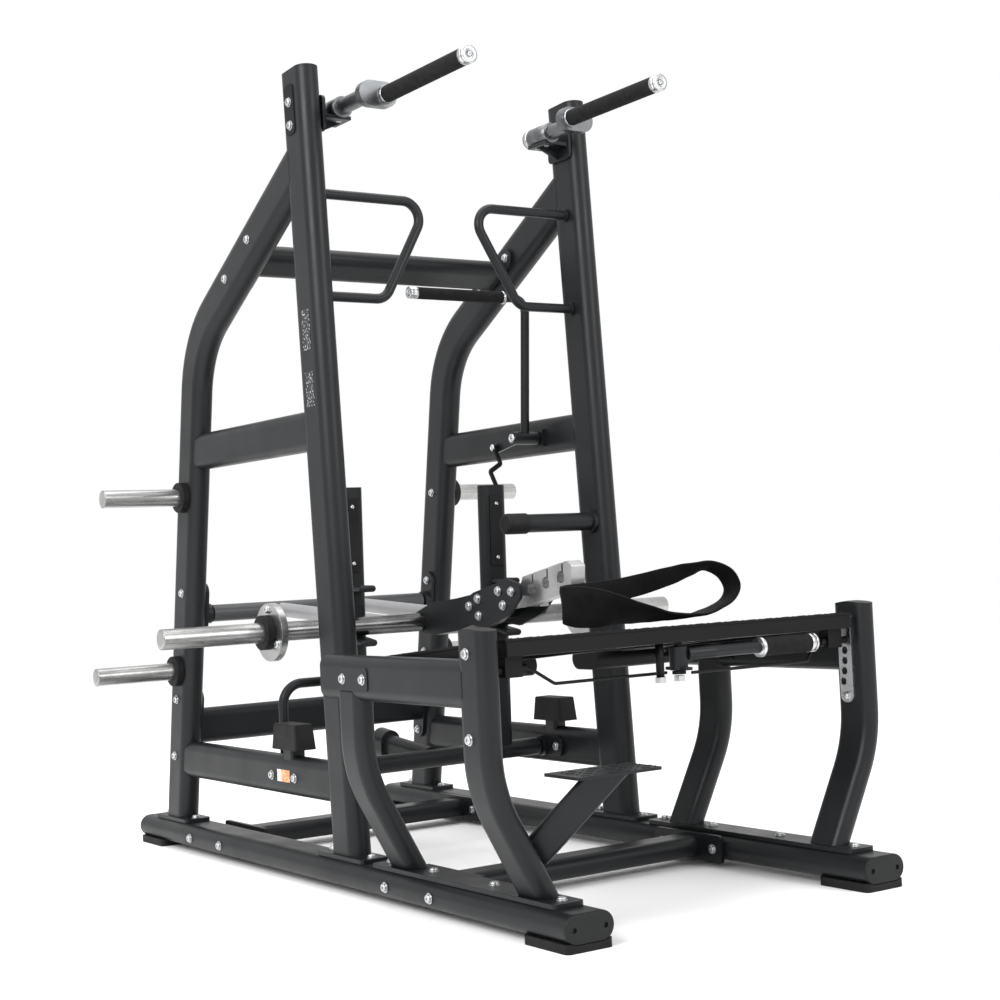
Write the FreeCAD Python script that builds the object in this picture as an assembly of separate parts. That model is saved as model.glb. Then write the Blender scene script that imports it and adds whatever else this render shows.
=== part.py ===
import FreeCAD, Part
import math
import os

os.makedirs("parts", exist_ok=True)
V = FreeCAD.Vector

# Belt squat machine with a raised, tilting standing platform.
# Millimetres. Z is up, +Y is the rear, X is the machine's own left (-) to right (+).
# The origin is on the floor, in the middle of the base.

# ---- driving dimensions ------------------------------------------------------------------
SIDE_X = 407.0            # centre plane of each side frame
MAIN_W, MAIN_T = 120.0, 60.0   # large flat-oval tube
SUB_W, SUB_T = 100.0, 50.0     # small flat-oval tube
WALL = 3.0
RAIL_END = 1045.0         # half length of the base
PAD_H = 15.0
RAIL_Z = 45.0             # middle height of the base rails
PLATE_Z = 75.0            # top of the rails, underside of the foot plates
PLATE_T = 10.0
FOOT_Z = PLATE_Z + PLATE_T

REAR_FOOT_Y = 870.0       # rear upright, at its foot plate
REAR_BEND = (635.0, 1401.0)
REAR_TOP = (-25.0, 1771.0)
REAR_RADIUS = 273.0
FRONT_FOOT_Y = -111.0
FRONT_TOP = (-19.5, 1992.0)

AXLE = (757.0, 655.0)     # lever pivot, Y and Z
LEVER_BAR = (118.0, 614.0)     # cross tube that carries the weight horns
SHAFT = (183.0, 248.0)    # lockout shaft
POST_X = 224.0
POST_TOP = (163.0, 972.0)
RELEASE = (140.0, 1098.0)      # hand lever pivot
LINK_PIN = (235.0, 1080.0)     # rear end of the hand lever's arm

PLAT_X = 526.0            # centre plane of the platform's side weldments
PLAT_REAR_LEG_Y = -375.0
PLAT_FRONT_LEG_Y = -877.0
HINGE = (-478.0, 528.0)   # platform tilt axis
TILT = 5.1                # platform slope in the top hole, front edge high
LOCK_R = 395.0            # hinge to lock pin
LOCK_Z = 542.0
DECK_Z = 568.4            # deck surface before the tilt

BOLT_R = 5.0
HOLE_R = 5.25
WASHER_R, WASHER_T = 12.0, 2.5
HEAD_R, HEAD_T = 9.5, 6.0

nodes = {}
holes = []


# ---- helpers -----------------------------------------------------------------------------
def unit(v):
    v = V(v)
    v.normalize()
    return v


def face_at(origin, direction, wide, w, t, inset=0.0):
    """Flat-oval section (a circle when w equals t) with its long axis along wide."""
    d = unit(direction)
    u = unit(wide)
    n = d.cross(u)
    r = t / 2.0 - inset
    half = (w - t) / 2.0
    if half < 1e-6:
        return Part.Wire([Part.makeCircle(r, origin, d)])
    a = origin + u * half + n * r
    b = origin + u * (half + r)
    c = origin + u * half - n * r
    e = origin - u * half - n * r
    f = origin - u * (half + r)
    g = origin - u * half + n * r
    return Part.Wire([Part.Arc(a, b, c).toShape(), Part.makeLine(c, e),
                      Part.Arc(e, f, g).toShape(), Part.makeLine(g, a)])


def path_tube(points, radius, wide, w, t, inset=0.0):
    """Solid of one section along straight runs joined by arcs of the given radius."""
    pts = [V(*p) for p in points]
    u = unit(V(*wide))
    solid = None
    start = pts[0]
    for i in range(len(pts) - 1):
        d = unit(pts[i + 1] - pts[i])
        end = pts[i + 1]
        bend = i + 2 < len(pts)
        if bend:
            d2 = unit(pts[i + 2] - pts[i + 1])
            angle = d.getAngle(d2)
            end = pts[i + 1] - d * (radius * math.tan(angle / 2.0))
        piece = Part.Face(face_at(start, d, u, w, t, inset)).extrude(end - start)
        solid = piece if solid is None else solid.fuse(piece)
        if bend:
            axis = unit(d.cross(d2))
            centre = end + axis.cross(d) * radius
            turned = Part.Face(face_at(end, d, u, w, t, inset))
            solid = solid.fuse(turned.revolve(centre, axis, math.degrees(angle)))
            u = FreeCAD.Rotation(axis, math.degrees(angle)).multVec(u)
            start = pts[i + 1] + d2 * (radius * math.tan(angle / 2.0))
    return solid.removeSplitter()


def tube(points, radius, wide, w, t, wall=WALL):
    """Hollow tube; returns the tube and its filled outer shape."""
    outer = path_tube(points, radius, wide, w, t)
    inner = path_tube(points, radius, wide, w, t, wall)
    return outer.cut(inner), outer


def cyl(p, direction, r, length):
    return Part.makeCylinder(r, length, V(*p), V(*direction))


def box(x0, x1, y0, y1, z0, z1):
    return Part.makeBox(x1 - x0, y1 - y0, z1 - z0, V(x0, y0, z0))


def span(x_a, x_b, y0, y1, z0, z1):
    """A box between two X values given in either order."""
    return box(min(x_a, x_b), max(x_a, x_b), y0, y1, z0, z1)


def fillet_all(shape, r, axis):
    """Round the edges that run along one axis."""
    picked = []
    for edge in shape.Edges:
        if len(edge.Vertexes) == 2:
            d = edge.Vertexes[1].Point - edge.Vertexes[0].Point
            if abs(abs(d.dot(axis)) - d.Length) < 1e-6 and d.Length > 1e-6:
                picked.append(edge)
    return shape.makeFillet(r, picked)


def rounded_box(x0, x1, y0, y1, z0, z1, r, axis):
    return fillet_all(span(x0, x1, y0, y1, z0, z1), r, V(*axis))


def mirrored(shape):
    return shape.mirror(V(0, 0, 0), V(1, 0, 0))


def fuse(shapes):
    solid = shapes[0]
    if len(shapes) > 1:
        solid = solid.multiFuse(shapes[1:])
    return solid.removeSplitter()


def bolt(point, outward, grip, washer=True):
    """Button-head bolt with a socket, its washer, and a shank that goes grip deep."""
    p = V(*point)
    n = unit(V(*outward))
    base = p + n * (WASHER_T if washer else 0.0)
    head = Part.makeCylinder(HEAD_R, HEAD_T, base, n)
    head = head.makeFillet(3.0, [e for e in head.Edges
                                 if len(e.Vertexes) == 1 and (e.CenterOfMass - base).dot(n) > HEAD_T / 2])
    socket = Part.makeCylinder(3.2, 3.5, base + n * (HEAD_T - 3.5), n)
    parts = [head.cut(socket), Part.makeCylinder(BOLT_R, grip + 1.0, p - n * grip, n)]
    if washer:
        parts.append(Part.makeCylinder(WASHER_R, WASHER_T, p, n))
    holes.append(Part.makeCylinder(HOLE_R, grip + 1.5, p - n * (grip + 1.0), n))
    return fuse(parts)


def rear_y(z):
    """Centre of the rear upright's lower run at a height."""
    t = (z - FOOT_Z) / (REAR_BEND[1] - FOOT_Z)
    return REAR_FOOT_Y + t * (REAR_BEND[0] - REAR_FOOT_Y)


def front_y(z):
    t = (z - FOOT_Z) / (FRONT_TOP[1] - FOOT_Z)
    return FRONT_FOOT_Y + t * (FRONT_TOP[0] - FRONT_FOOT_Y)


def cut_low(shape, z):
    return shape.cut(box(-2000, 2000, -2000, 2000, z - 800, z))


# ---- base ----------------------------------------------------------------------------------
outers = {}
pads = []
caps = []
bolts = []
for side, s in (("left", -1), ("right", 1)):
    x = s * SIDE_X
    rail, outers["rail_" + side] = tube([(x, -RAIL_END + 8, RAIL_Z), (x, RAIL_END - 8, RAIL_Z)], 0,
                                        (1, 0, 0), MAIN_W, MAIN_T)
    nodes["base_rail_" + side] = rail
    for e in (-1, 1):
        pad = rounded_box(x - 57, x + 57, min(e * 893, e * RAIL_END), max(e * 893, e * RAIL_END),
                          0, PAD_H + 4, 12, (0, 0, 1))
        pads.append(pad.cut(path_tube([(x, -RAIL_END - 1, RAIL_Z), (x, RAIL_END + 1, RAIL_Z)], 0,
                                      (1, 0, 0), MAIN_W, MAIN_T)))
        plug = path_tube([(x, e * (RAIL_END - 30), RAIL_Z), (x, e * (RAIL_END - 8), RAIL_Z)], 0,
                         (1, 0, 0), MAIN_W, MAIN_T, WALL + 0.4)
        cover = path_tube([(x, e * (RAIL_END - 8), RAIL_Z), (x, e * RAIL_END, RAIL_Z)], 0,
                          (1, 0, 0), MAIN_W, MAIN_T)
        cover = cover.makeFillet(4.0, [k for k in cover.Edges if abs(k.CenterOfMass.y - e * RAIL_END) < 0.5])
        cap = fuse([cover, plug])
        for dx in (-38, 38):
            cap = cap.cut(cyl((x + dx, e * (RAIL_END + 1), RAIL_Z), (0, -e, 0), 5.5, 6))
        caps.append(cap)
nodes["foot_pads"] = Part.makeCompound(pads)

for name, y in (("rear", 598.0), ("front", -458.0)):
    cross = tube([(-SIDE_X + 70, y, RAIL_Z), (SIDE_X - 70, y, RAIL_Z)], 0, (0, 1, 0), SUB_W, SUB_T)[0]
    parts = [cross]
    for s in (-1, 1):
        parts.append(rounded_box(s * 347, s * 337, y - 122, y + 122, PAD_H - 3, PLATE_Z + 3, 8, (1, 0, 0)))
        for dy in (-94, 94):
            bolts.append(bolt((s * (SIDE_X + 60), y + dy, RAIL_Z), (s, 0, 0), 10))
            bolts.append(bolt((s * 337, y + dy, RAIL_Z), (-s, 0, 0), 16))
    nodes["base_cross_" + name] = fuse(parts)

# ---- side frames -----------------------------------------------------------------------------
for side, s in (("left", -1), ("right", 1)):
    x = s * SIDE_X
    # front upright, leaning slightly to the rear, with its foot plate
    d = V(0, FRONT_TOP[0] - FRONT_FOOT_Y, FRONT_TOP[1] - FOOT_Z)
    wide = (0, d.z, -d.y)
    low = V(x, front_y(FOOT_Z - 30), FOOT_Z - 30)
    top = V(x, front_y(FRONT_TOP[1] - 6), FRONT_TOP[1] - 6)
    hollow, outer = tube([tuple(low), tuple(top)], 0, wide, MAIN_W, MAIN_T)
    plate = rounded_box(x - 38, x + 38, FRONT_FOOT_Y - 110, FRONT_FOOT_Y + 110, PLATE_Z, FOOT_Z, 10, (0, 0, 1))
    nodes["front_upright_" + side] = fuse([cut_low(hollow, FOOT_Z), plate])
    outers["front_" + side] = fuse([cut_low(outer, FOOT_Z), plate])
    u = unit(d)
    plug = path_tube([tuple(top - u * 22), tuple(top)], 0, wide, MAIN_W, MAIN_T, WALL + 0.4)
    cover = path_tube([tuple(top), tuple(top + u * 6)], 0, wide, MAIN_W, MAIN_T)
    caps.append(fuse([cover, plug]))
    for dy in (-92, 92):
        bolts.append(bolt((x, FRONT_FOOT_Y + dy, FOOT_Z), (0, 0, 1), 20))

    # rear upright, one bend, running forward to the front upright
    low_z = FOOT_Z - 40
    pts = [(x, rear_y(low_z), low_z), (x, REAR_BEND[0], REAR_BEND[1]), (x, REAR_TOP[0], REAR_TOP[1])]
    wide = (0, REAR_BEND[1] - low_z, rear_y(low_z) - REAR_BEND[0])
    hollow, outer = tube(pts, REAR_RADIUS, wide, MAIN_W, MAIN_T)
    hollow = cut_low(hollow, FOOT_Z).cut(outers["front_" + side])
    hollow = sorted(hollow.Solids, key=lambda k: -k.Volume)[0]
    plate = rounded_box(x - 38, x + 38, REAR_FOOT_Y - 103, REAR_FOOT_Y + 103, PLATE_Z, FOOT_Z, 10, (0, 0, 1))
    nodes["rear_upright_" + side] = fuse([hollow, plate])
    outers["rear_" + side] = fuse([cut_low(outer, FOOT_Z), plate])
    for dy in (-86, 86):
        bolts.append(bolt((x, REAR_FOOT_Y + dy, FOOT_Z), (0, 0, 1), 20))

    # the two level tubes between the uprights
    for name, z in (("mid", 1103.0), ("lower", 250.0)):
        level, outer = tube([(x, rear_y(z) + 20, z), (x, front_y(z) - 20, z)], 0, (0, 0, 1), SUB_W, SUB_T)
        level = level.cut(outers["front_" + side]).cut(outers["rear_" + side])
        level = sorted(level.Solids, key=lambda k: -k.Volume)[0]
        if name == "lower":
            neck = rounded_box(x - 20, x + 20, 143, 193, 290, 322, 8, (0, 0, 1))
            level = fuse([level, neck.cut(outer)])
        nodes[name + "_side_tube_" + side] = level
        outers[name + "_" + side] = outer

# rubber stops that the lever's cross tube comes down on
stops = []
for s in (-1, 1):
    block = Part.makeLoft([Part.makePolygon([V(s * SIDE_X + i * a, 168 + j * b, z)
                                             for i, j in ((-1, -1), (1, -1), (1, 1), (-1, 1), (-1, -1))])
                           for a, b, z in ((30, 65, 316), (26, 58, 380))], True)
    block = block.makeFillet(5.0, [e for e in block.Edges if e.CenterOfMass.z > 320])
    socket = rounded_box(s * SIDE_X - 20, s * SIDE_X + 20, 143, 193, 310, 322, 8, (0, 0, 1))
    stops.append(block.cut(socket))
nodes["bump_stops"] = Part.makeCompound(stops)

# crossbars with bolted end flanges
upper_dir = unit(V(0, REAR_TOP[0] - REAR_BEND[0], REAR_TOP[1] - REAR_BEND[1]))
lower_dir = unit(V(0, REAR_BEND[0] - REAR_FOOT_Y, REAR_BEND[1] - FOOT_Z))
upper_mid = V(0, REAR_BEND[0], REAR_BEND[1]) + upper_dir * 366.0
lower_mid = V(0, rear_y(338.0), 338.0)
for name, mid, along in (("upper_crossbar", upper_mid, upper_dir), ("lower_rear_crossbar", lower_mid, lower_dir)):
    bar = tube([(-367, mid.y, mid.z), (367, mid.y, mid.z)], 0, tuple(along), SUB_W, SUB_T)[0]
    parts = [bar]
    for s in (-1, 1):
        flat = Part.Face(face_at(V(s * 367, mid.y, mid.z), V(s, 0, 0), along, 210, 56)).extrude(V(s * 10, 0, 0))
        parts.append(flat)
        for k in (-81, 81):
            p = mid + along * k
            bolts.append(bolt((s * (SIDE_X + 30), p.y, p.z), (s, 0, 0), 10))
            bolts.append(bolt((s * 367, p.y, p.z), (-s, 0, 0), 16))
    nodes[name] = fuse(parts)

# flange bearings: lever axle on the rear uprights, lockout shaft on the lower side tubes
bearings = []
BORE = 15.05
for s in (-1, 1):
    for (y, z), face_x, along in ((AXLE, 377.0, lower_dir), (SHAFT, 382.0, V(0, 1, 0))):
        flat = Part.Face(face_at(V(s * face_x, y, z), V(-s, 0, 0), along, 176, 56)).extrude(V(-s * 10, 0, 0))
        boss = cyl((s * (face_x - 10), y, z), (-s, 0, 0), 28, 16)
        ring = fuse([flat, boss]).cut(cyl((s * (face_x + 1), y, z), (-s, 0, 0), BORE, 40))
        bearings.append(ring)
        for k in (-62, 62):
            p = V(0, y, z) + along * k
            bolts.append(bolt((s * (face_x - 10), p.y, p.z), (-s, 0, 0), 16))
            outer_x = SIDE_X + (30 if face_x < 380 else 25)
            bolts.append(bolt((s * outer_x, p.y, p.z), (s, 0, 0), 10))
nodes["flange_bearings"] = Part.makeCompound(bearings)

# ---- handles and pegs on the uprights ------------------------------------------------------
def on_upright(side, shape):
    return shape.cut(outers["front_" + side])


for side, s in (("left", -1), ("right", 1)):
    y = front_y(1560)
    pts = [(s * 380, y + 5, 1687), (s * 60, y + 5, 1687), (s * 204, y - 1, 1432), (s * 380, y - 1, 1432)]
    grip = path_tube(pts, 45, (0, 1, 0), 25, 25)
    collars = [cyl((s * 376, y + 5, 1687), (-s, 0, 0), 17, 6), cyl((s * 376, y - 1, 1432), (-s, 0, 0), 17, 6)]
    nodes["d_handle_" + side] = on_upright(side, fuse([grip] + collars))

peg_y = front_y(857) - 10
peg = fuse([cyl((378, peg_y, 857), (-1, 0, 0), 24, 250), cyl((378, peg_y, 857), (-1, 0, 0), 31, 12)])
peg = peg.cut(cyl((127, peg_y, 857), (1, 0, 0), 20.2, 62))
peg_cap = fuse([cyl((160, peg_y, 857), (-1, 0, 0), 27, 66), cyl((170, peg_y, 857), (-1, 0, 0), 19.5, 20)])
peg_cap = peg_cap.cut(cyl((165, peg_y, 857), (-1, 0, 0), 24.2, 37).cut(cyl((170, peg_y, 857), (-1, 0, 0), 20, 60)))
peg_cap = peg_cap.makeFillet(10.0, [e for e in peg_cap.Edges if abs(e.CenterOfMass.x - 94) < 0.5])
nodes["accessory_peg"] = on_upright("right", peg)

bar_pts = [(-368, 294, 262), (-368, 294, 470), (-225, 294, 470)]
rest = fuse([path_tube(bar_pts, 55, (0, 1, 0), 25, 25),
             span(-382, -374, 274, 314, 225, 275), cyl((-375, 294, 262), (1, 0, 0), 12.5, 7)])
nodes["rest_bar"] = rest

# plate storage horns on the rear uprights, each with a rubber collar
horns = []
collars = []
for s in (-1, 1):
    for z, length in ((981.0, 236.0), (498.0, 240.0)):
        y = rear_y(z)
        pipe = cyl((s * (SIDE_X + 30), y, z), (s, 0, 0), 24, length).cut(
            cyl((s * (SIDE_X + 30 + length - 120), y, z), (s, 0, 0), 20, 130))
        horns.append(pipe)
        ring = cyl((s * (SIDE_X + 30), y, z), (s, 0, 0), 42, 20).cut(
            cyl((s * (SIDE_X + 29), y, z), (s, 0, 0), 24.0, 30))
        collars.append(ring.makeFillet(4.0, [e for e in ring.Edges
                                             if abs(abs(e.CenterOfMass.x) - SIDE_X - 50) < 0.5
                                             and e.Curve.Radius > 30]))
        bolts.append(bolt((s * 377, y, z), (-s, 0, 0), 10))
nodes["storage_horns"] = Part.makeCompound(horns)

# ---- platform support: two side weldments with bolted cross stubs ----------------------------
plates = []
for side, s in (("left", -1), ("right", 1)):
    x = s * PLAT_X
    foot_x = s * SIDE_X
    front_pts = [(x, PLAT_FRONT_LEG_Y, 622), (x, PLAT_FRONT_LEG_Y, 309), (foot_x, PLAT_FRONT_LEG_Y, 85),
                 (foot_x - s * 15, PLAT_FRONT_LEG_Y, 57)]
    front_pts = front_pts[:2] + [(foot_x - s * 18, PLAT_FRONT_LEG_Y, 51)]
    leg, leg_outer = tube(front_pts, 300, (0, 1, 0), SUB_W, SUB_T)
    nodes["leg_front_" + side] = cut_low(leg, FOOT_Z)
    rear_pts = [(x, PLAT_REAR_LEG_Y, 500), (x, PLAT_REAR_LEG_Y, 309), (foot_x - s * 18, PLAT_REAR_LEG_Y, 51)]
    rail, rail_outer = tube([(x, -264, 519), (x, PLAT_FRONT_LEG_Y, 519)], 0, (0, 0, 1), SUB_W, SUB_T)
    rail = sorted(rail.cut(leg_outer).Solids, key=lambda k: -k.Volume)[0]
    rear = cut_low(tube(rear_pts, 300, (0, 1, 0), SUB_W, SUB_T)[0], FOOT_Z).cut(rail_outer)
    nodes["leg_rear_" + side] = sorted(rear.Solids, key=lambda k: -k.Volume)[0]
    nodes["platform_rail_" + side] = rail
    plug = path_tube([(x, -264, 519), (x, -290, 519)], 0, (0, 0, 1), SUB_W, SUB_T, WALL + 0.4)
    cover = path_tube([(x, -264, 519), (x, -258, 519)], 0, (0, 0, 1), SUB_W, SUB_T)
    caps.append(fuse([cover, plug]))
    dome = path_tube([(x, PLAT_FRONT_LEG_Y, 600), (x, PLAT_FRONT_LEG_Y, 622)], 0, (0, 1, 0), SUB_W, SUB_T,
                     WALL + 0.4)
    crown = path_tube([(x, PLAT_FRONT_LEG_Y, 622), (x, PLAT_FRONT_LEG_Y, 632)], 0, (0, 1, 0), SUB_W, SUB_T)
    ball = Part.makeSphere(190, V(x, PLAT_FRONT_LEG_Y, 632 - 190))
    caps.append(fuse([crown.common(ball), dome]))
    plate = rounded_box(foot_x - 38, foot_x + 38, -981, -266, PLATE_Z, FOOT_Z, 10, (0, 0, 1))
    plates.append(plate)
    for y in (-292, -476, -716, -955):
        bolts.append(bolt((foot_x, y, FOOT_Z), (0, 0, 1), 20))
nodes["leg_base_plates"] = Part.makeCompound(plates)

stubs = []
for s in (-1, 1):
    stub, stub_outer = tube([(s * 491, -408, 517), (s * 88, -408, 517)], 0, (0, 1, 0), SUB_W, SUB_T)
    lid = path_tube([(s * 93, -408, 517), (s * 88, -408, 517)], 0, (0, 1, 0), SUB_W, SUB_T)
    parts = [stub, lid]
    parts.append(rounded_box(s * 501, s * 491, -478, -338, 489, 545, 8, (1, 0, 0)))
    for y in (-452, -364):
        bolts.append(bolt((s * (PLAT_X + 25), y, 518), (s, 0, 0), 10))
    for k in (-1, 1):
        lug = span(s * 300 + k * 16 - 4, s * 300 + k * 16 + 4, HINGE[0] - 15, -440, HINGE[1] - 15, HINGE[1] + 12)
        lug = lug.cut(stub_outer)
        lug = lug.cut(cyl((s * 300 - 30, HINGE[0], HINGE[1]), (1, 0, 0), 6.05, 60))
        parts.append(lug)
    stubs.append(fuse(parts))
nodes["platform_cross_stubs"] = Part.makeCompound(stubs)

# selector plates: five lock holes on an arc about the platform hinge
selectors = []
for s in (-1, 1):
    plate = rounded_box(s * 501, s * 493, -893, -853, 397, 603, 19, (1, 0, 0))
    for i in range(5):
        z = LOCK_Z - 24 * i
        y = HINGE[0] - math.sqrt(LOCK_R ** 2 - (z - HINGE[1]) ** 2)
        plate = plate.cut(cyl((s * 505, y, z), (-s, 0, 0), 8.6, 16))
    for z in (581, 411):
        bolts.append(bolt((s * 493, -871, z), (-s, 0, 0), 14))
        bolts.append(bolt((s * (PLAT_X + 25), -871, z), (s, 0, 0), 10))
    selectors.append(plate)
nodes["selector_plates"] = Part.makeCompound(selectors)

# boarding step on the left front leg
brace = path_tube([(-425, -862, 150), (-306, -1015, 346)], 0, (-0.78, 0.62, 0), 90, 30)
brace = brace.cut(path_tube([(-PLAT_X, PLAT_FRONT_LEG_Y, 622), (-PLAT_X, PLAT_FRONT_LEG_Y, 309),
                             (-SIDE_X + 18, PLAT_FRONT_LEG_Y, 51)], 300, (0, 1, 0), SUB_W, SUB_T))
brace = sorted(brace.cut(box(-600, 0, -1300, -700, 329, 500)).Solids, key=lambda k: -k.Volume)[0]
tread = rounded_box(-418, -205, -1045, -925, 329, 335, 8, (0, 0, 1))
nodes["step"] = fuse([brace, tread])

# ---- top swing handles -----------------------------------------------------------------------
GRIP_AXIS_Z = 1900.0
HOUSE_X = 318.0
brackets = []
for side, s in (("left", -1), ("right", 1)):
    web = rounded_box(s * 377, s * 369, -75, 20, 1836, 1925, 14, (1, 0, 0))
    saddle = span(s * 370, s * 296, -70, 10, 1869, 1878)
    cradle = cyl((s * HOUSE_X, 10, GRIP_AXIS_Z), (0, -1, 0), 26, 80).cut(
        cyl((s * HOUSE_X, 11, GRIP_AXIS_Z), (0, -1, 0), 20.3, 90))
    gusset = Part.Face(Part.makePolygon([V(s * 370, -26, 1870), V(s * 300, -26, 1870), V(s * 370, -26, 1840),
                                         V(s * 370, -26, 1870)])).extrude(V(0, 8, 0))
    bracket = fuse([web, saddle.cut(cyl((s * HOUSE_X, 20, GRIP_AXIS_Z), (0, -1, 0), 20.3, 120)), cradle, gusset])
    brackets.append(on_upright(side, bracket))
    for z in (1853, 1911):
        y = front_y(z) + 8
        bolts.append(bolt((s * (SIDE_X + 30), y, z), (s, 0, 0), 10))
    spindle = cyl((s * HOUSE_X, 24, GRIP_AXIS_Z), (0, -1, 0), 20, 212)
    cap_end = cyl((s * HOUSE_X, 30, GRIP_AXIS_Z), (0, -1, 0), 25, 16)
    crank = Part.Face(face_at(V(s * HOUSE_X - s * 20, -188, GRIP_AXIS_Z), V(0, -1, 0), V(1, 0, 0), 104, 62))
    crank = crank.extrude(V(0, -22, 0))
    core = cyl((s * (HOUSE_X - 42), -208, GRIP_AXIS_Z), (0, -1, 0), 15, 360)
    ring = cyl((s * (HOUSE_X - 42), -208, GRIP_AXIS_Z), (0, -1, 0), 22, 12)
    end = cyl((s * (HOUSE_X - 42), -556, GRIP_AXIS_Z), (0, -1, 0), 21, 22)
    end = end.makeFillet(3.0, [e for e in end.Edges if abs(e.CenterOfMass.y + 578) < 0.5])
    nodes["swing_handle_" + side] = fuse([spindle, cap_end, crank, core, ring, end])
    sleeve = cyl((s * (HOUSE_X - 42), -220, GRIP_AXIS_Z), (0, -1, 0), 20.5, 336)
    nodes["swing_grip_" + side] = sleeve.cut(cyl((s * (HOUSE_X - 42), -219, GRIP_AXIS_Z), (0, -1, 0), 15, 340))
nodes["handle_brackets"] = Part.makeCompound(brackets)

# ---- main lever ------------------------------------------------------------------------------
ay, az = AXLE
by, bz = LEVER_BAR
axle = fuse([cyl((-345, ay, az), (1, 0, 0), 24, 690), cyl((-376, ay, az), (1, 0, 0), 15, 752)])
nodes["lever_axle"] = axle.cut(cyl((-320, ay, az), (1, 0, 0), 19, 640))
bar = cyl((-470, by, bz), (1, 0, 0), 24, 940)
nodes["lever_cross_tube"] = bar.cut(cyl((-471, by, bz), (1, 0, 0), 19, 942).cut(cyl((-440, by, bz), (1, 0, 0), 30, 880)))
arms = []
for x in (-130, 130):
    arm = tube([(x, ay, az), (x, by, bz)], 0, (1, 0, 0), 40, 40, 4.0)[0]
    arm = arm.cut(cyl((-345, ay, az), (1, 0, 0), 24, 690)).cut(cyl((-470, by, bz), (1, 0, 0), 24, 940))
    arms.append(sorted(arm.Solids, key=lambda k: -k.Volume)[0])
nodes["lever_arms"] = Part.makeCompound(arms)

lever_bolts = []
frame_holes = holes
holes = []
weight_horns = []
for s in (-1, 1):
    flange = cyl((s * 470, by, bz), (s, 0, 0), 72, 18)
    pipe = cyl((s * 488, by, bz), (s, 0, 0), 25, 285)
    pipe = pipe.cut(cyl((s * 690, by, bz), (s, 0, 0), 20, 90))
    weight_horns.append(fuse([flange, pipe]))
    ring = cyl((s * 488, by, bz), (s, 0, 0), 43, 22).cut(cyl((s * 487, by, bz), (s, 0, 0), 25, 30))
    collars.append(ring)
    for a in (90, 210, 330):
        p = (s * 488, by + 57 * math.cos(math.radians(a)), bz + 57 * math.sin(math.radians(a)))
        lever_bolts.append(bolt(p, (s, 0, 0), 12))
nodes["weight_horns"] = Part.makeCompound(weight_horns)
nodes["horn_collars"] = Part.makeCompound(collars[:4] + [peg_cap])
nodes["lever_collars"] = Part.makeCompound(collars[4:])

# belt arm: a welded box on the cross tube, bolted side plates and a cast belt rack
profile = [(150, 636), (60, 664), (-60, 674), (-190, 690), (-190, 622), (-60, 592), (60, 580), (150, 592)]
wire = Part.makePolygon([V(-46, y, z) for y, z in profile + profile[:1]])
body = Part.Face(wire).extrude(V(92, 0, 0))
wire = Part.makePolygon([V(-38, y, z) for y, z in ((142, 628), (60, 655), (-60, 666), (-200, 682), (-200, 632),
                                                    (-60, 601), (60, 589), (142, 600), (142, 628))])
body = body.cut(Part.Face(wire).extrude(V(76, 0, 0)))
body = body.cut(cyl((-100, by, bz), (1, 0, 0), 24, 200))
nodes["belt_arm"] = sorted(body.Solids, key=lambda k: -k.Volume)[0]
side_plates = []
shape = [(-95, 664), (-150, 688), (-300, 718), (-352, 706), (-352, 672), (-300, 630), (-200, 600), (-95, 612)]
for s in (-1, 1):
    wire = Part.makePolygon([V(s * 46, y, z) for y, z in shape + shape[:1]])
    plate = Part.Face(wire).extrude(V(s * 8, 0, 0))
    side_plates.append(fillet_all(plate, 10, V(1, 0, 0)))
    for y, z in ((-130, 654), (-170, 672), (-172, 630)):
        lever_bolts.append(bolt((s * 54, y, z), (s, 0, 0), 14))
    for y, z in ((-262, 690), (-318, 688), (-280, 655)):
        lever_bolts.append(bolt((s * 54, y, z), (s, 0, 0), 14))
nodes["belt_arm_plates"] = Part.makeCompound(side_plates)
rack_pts = [(-200, 640), (-200, 672), (-300, 686), (-318, 722), (-500, 756), (-519, 745), (-513, 686), (-330, 652)]
wire = Part.makePolygon([V(-20, y, z) for y, z in rack_pts + rack_pts[:1]])
rack = fillet_all(Part.Face(wire).extrude(V(40, 0, 0)), 6, V(1, 0, 0))
for i in range(3):
    cy, cz = -352 - 61 * i, 694 + 12 * i
    slot = fuse([cyl((-30, cy, cz), (1, 0, 0), 14, 60), span(-30, 30, cy - 14, cy + 14, cz - 11, cz)])
    mouth = span(-30, 30, cy - 11, cy - 4, cz + 6, cz + 60)
    rack = rack.cut(fuse([slot, mouth]))
spacer = [span(s * 20, s * 46, -330, -205, 648, 676) for s in (-1, 1)]
nodes["belt_rack"] = fuse([sorted(rack.Solids, key=lambda k: -k.Volume)[0]] + spacer)
nodes["lever_bolts"] = Part.makeCompound(lever_bolts)
lever_holes = holes

# ---- lifting belt: padded loop lying on the deck, hooked on the front of the rack -------------
belt_pts = [(-70, -592, 690), (-130, -592, 650), (-70, -592, 604), (140, -592, 604), (330, -592, 612),
            (425, -592, 662), (300, -592, 728), (60, -592, 694), (-30, -592, 700)]
belt = path_tube(belt_pts, 24, (0, 1, 0), 104, 16)
nodes["belt"] = belt

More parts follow.
